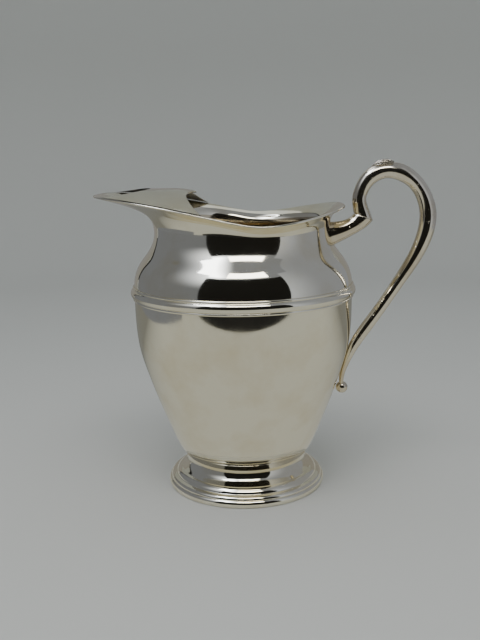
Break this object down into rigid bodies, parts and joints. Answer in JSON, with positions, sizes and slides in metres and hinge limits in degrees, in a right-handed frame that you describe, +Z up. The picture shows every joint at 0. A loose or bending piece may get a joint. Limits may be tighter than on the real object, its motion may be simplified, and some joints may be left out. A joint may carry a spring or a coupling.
{
  "type": "silver water pitcher",
  "caption": "Footed water pitcher with a swelling body, belt moulding, spouted wavy lip with fixed ice guard, and a high scroll handle.",
  "frame": {"origin": "on the axis of the body, at the plane that the foot stands on", "axes": "+Z up along the body's axis, spout towards -X, handle towards +X, symmetric about the XZ plane"},
  "size_m": [0.2248, 0.15, 0.2184],
  "materials": {
    "silver_body": "polished silver plate with fine wear and a trace of tarnish",
    "silver_trim": "polished silver plate moulding, darker in the corners",
    "silver_cast": "polished silver plate on castings, pitted and tarnished in the hollows"
  },
  "bodies": {
    "root": {"lower_body": "silver_body", "upper_body": "silver_body", "body_band": "silver_trim", "foot": "silver_body", "base_ring": "silver_trim", "ice_guard": "silver_body", "handle_near_half": "silver_cast", "handle_far_half": "silver_cast", "handle_arm": "silver_cast", "thumb_leaf": "silver_cast", "handle_finial": "silver_cast"}
  },
  "joints": []
}
